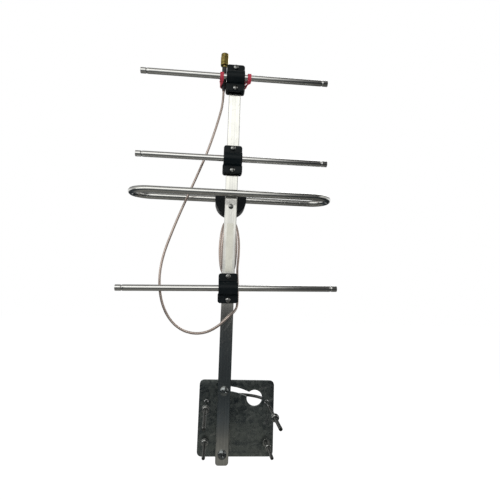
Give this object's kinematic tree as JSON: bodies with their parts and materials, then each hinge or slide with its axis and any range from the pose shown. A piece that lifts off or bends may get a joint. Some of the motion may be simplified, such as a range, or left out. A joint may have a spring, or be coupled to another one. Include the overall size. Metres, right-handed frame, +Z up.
{
  "type": "yagi antenna",
  "caption": "Small yagi antenna on a square aluminium boom: straight rods and a fed folded dipole, a coaxial lead with a threaded plug, and a tilting mast bracket with U-bolts.",
  "frame": {"origin": "where the mast bears on the bracket: on the plate's back face, midway between the four U-bolt holes", "axes": "+X along the elements to the right as seen from the front, +Y from the front towards the mast, +Z up the mast and along the boom to the director end"},
  "size_m": [0.21, 0.1615, 0.4088],
  "materials": {
    "boom": "brushed",
    "element": "polished",
    "clamp_plastic": "satin moulded",
    "box_plastic": "matte moulded",
    "screw_steel": "bright zinc",
    "bracket_steel": "galvanised",
    "u_bolt_steel": "bright drawn",
    "end_plug": "matte",
    "coax_jacket": "translucent over braid",
    "boot_rubber": "matte",
    "plug_gold": "gold plated",
    "ptfe": "waxy",
    "band_rubber": "matte",
    "label": "satin film",
    "board": "laminate"
  },
  "bodies": {
    "bracket": {"bracket_plate": "bracket_steel"},
    "upper_u_bolt": {"upper_u_bolt": "u_bolt_steel", "upper_u_bolt_nuts": "screw_steel", "upper_u_bolt_washers": "screw_steel"},
    "lower_u_bolt": {"lower_u_bolt": "u_bolt_steel", "lower_u_bolt_nuts": "screw_steel", "lower_u_bolt_washers": "screw_steel"},
    "coupling_nut": {"coupling_nut": "plug_gold"},
    "boom": {"boom_tube": "boom", "pivot_screw": "screw_steel", "pivot_washer": "screw_steel", "pivot_nut": "screw_steel", "lock_screw": "screw_steel", "lock_washer": "screw_steel", "lock_nut": "screw_steel", "label_strip": "label", "rod_end_plugs": "end_plug", "folded_dipole": "element", "dipole_saddle": "box_plastic", "dipole_screw": "screw_steel", "feed_box_body": "box_plastic", "feed_box_cover": "box_plastic", "feed_box_cover_screws": "screw_steel", "feed_box_screw": "screw_steel", "feed_box_nut": "screw_steel", "terminal_board": "board", "terminal_spacers": "screw_steel", "terminal_screws": "screw_steel", "balun_grommet": "boot_rubber", "cable_grommet": "boot_rubber", "balun_loop": "coax_jacket", "feed_cable": "coax_jacket", "cable_boot": "boot_rubber", "plug_body": "plug_gold", "plug_insulator": "ptfe", "plug_contact": "plug_gold", "elastic_band": "band_rubber", "director_2_rod": "element", "director_2_clamp_base": "clamp_plastic", "director_2_clamp_cap": "clamp_plastic", "director_2_clamp_screws": "screw_steel", "director_2_clamp_nuts": "screw_steel", "director_1_rod": "element", "director_1_clamp_base": "clamp_plastic", "director_1_clamp_cap": "clamp_plastic", "director_1_clamp_screws": "screw_steel", "director_1_clamp_nuts": "screw_steel", "reflector_rod": "element", "reflector_clamp_base": "clamp_plastic", "reflector_clamp_cap": "clamp_plastic", "reflector_clamp_screws": "screw_steel", "reflector_clamp_nuts": "screw_steel"}
  },
  "joints": [
    {"name": "boom_tilt", "type": "hinge", "parent": "bracket", "child": "boom", "pos_m": [-0.0126, -0.0081, -0.026], "axis": [0, 1, 0], "range_deg": [0, 30]},
    {"name": "upper_clamp_slide", "type": "slide", "parent": "bracket", "child": "upper_u_bolt", "axis": [0, 1, 0], "range_m": [0, 0.029]},
    {"name": "lower_clamp_slide", "type": "slide", "parent": "bracket", "child": "lower_u_bolt", "axis": [0, 1, 0], "range_m": [-0.042, 0.0039]},
    {"name": "coupling_nut_spin", "type": "hinge", "parent": "boom", "child": "coupling_nut", "pos_m": [-0.0244, -0.0066, 0.366], "axis": [0, 0, 1], "continuous": true}
  ]
}
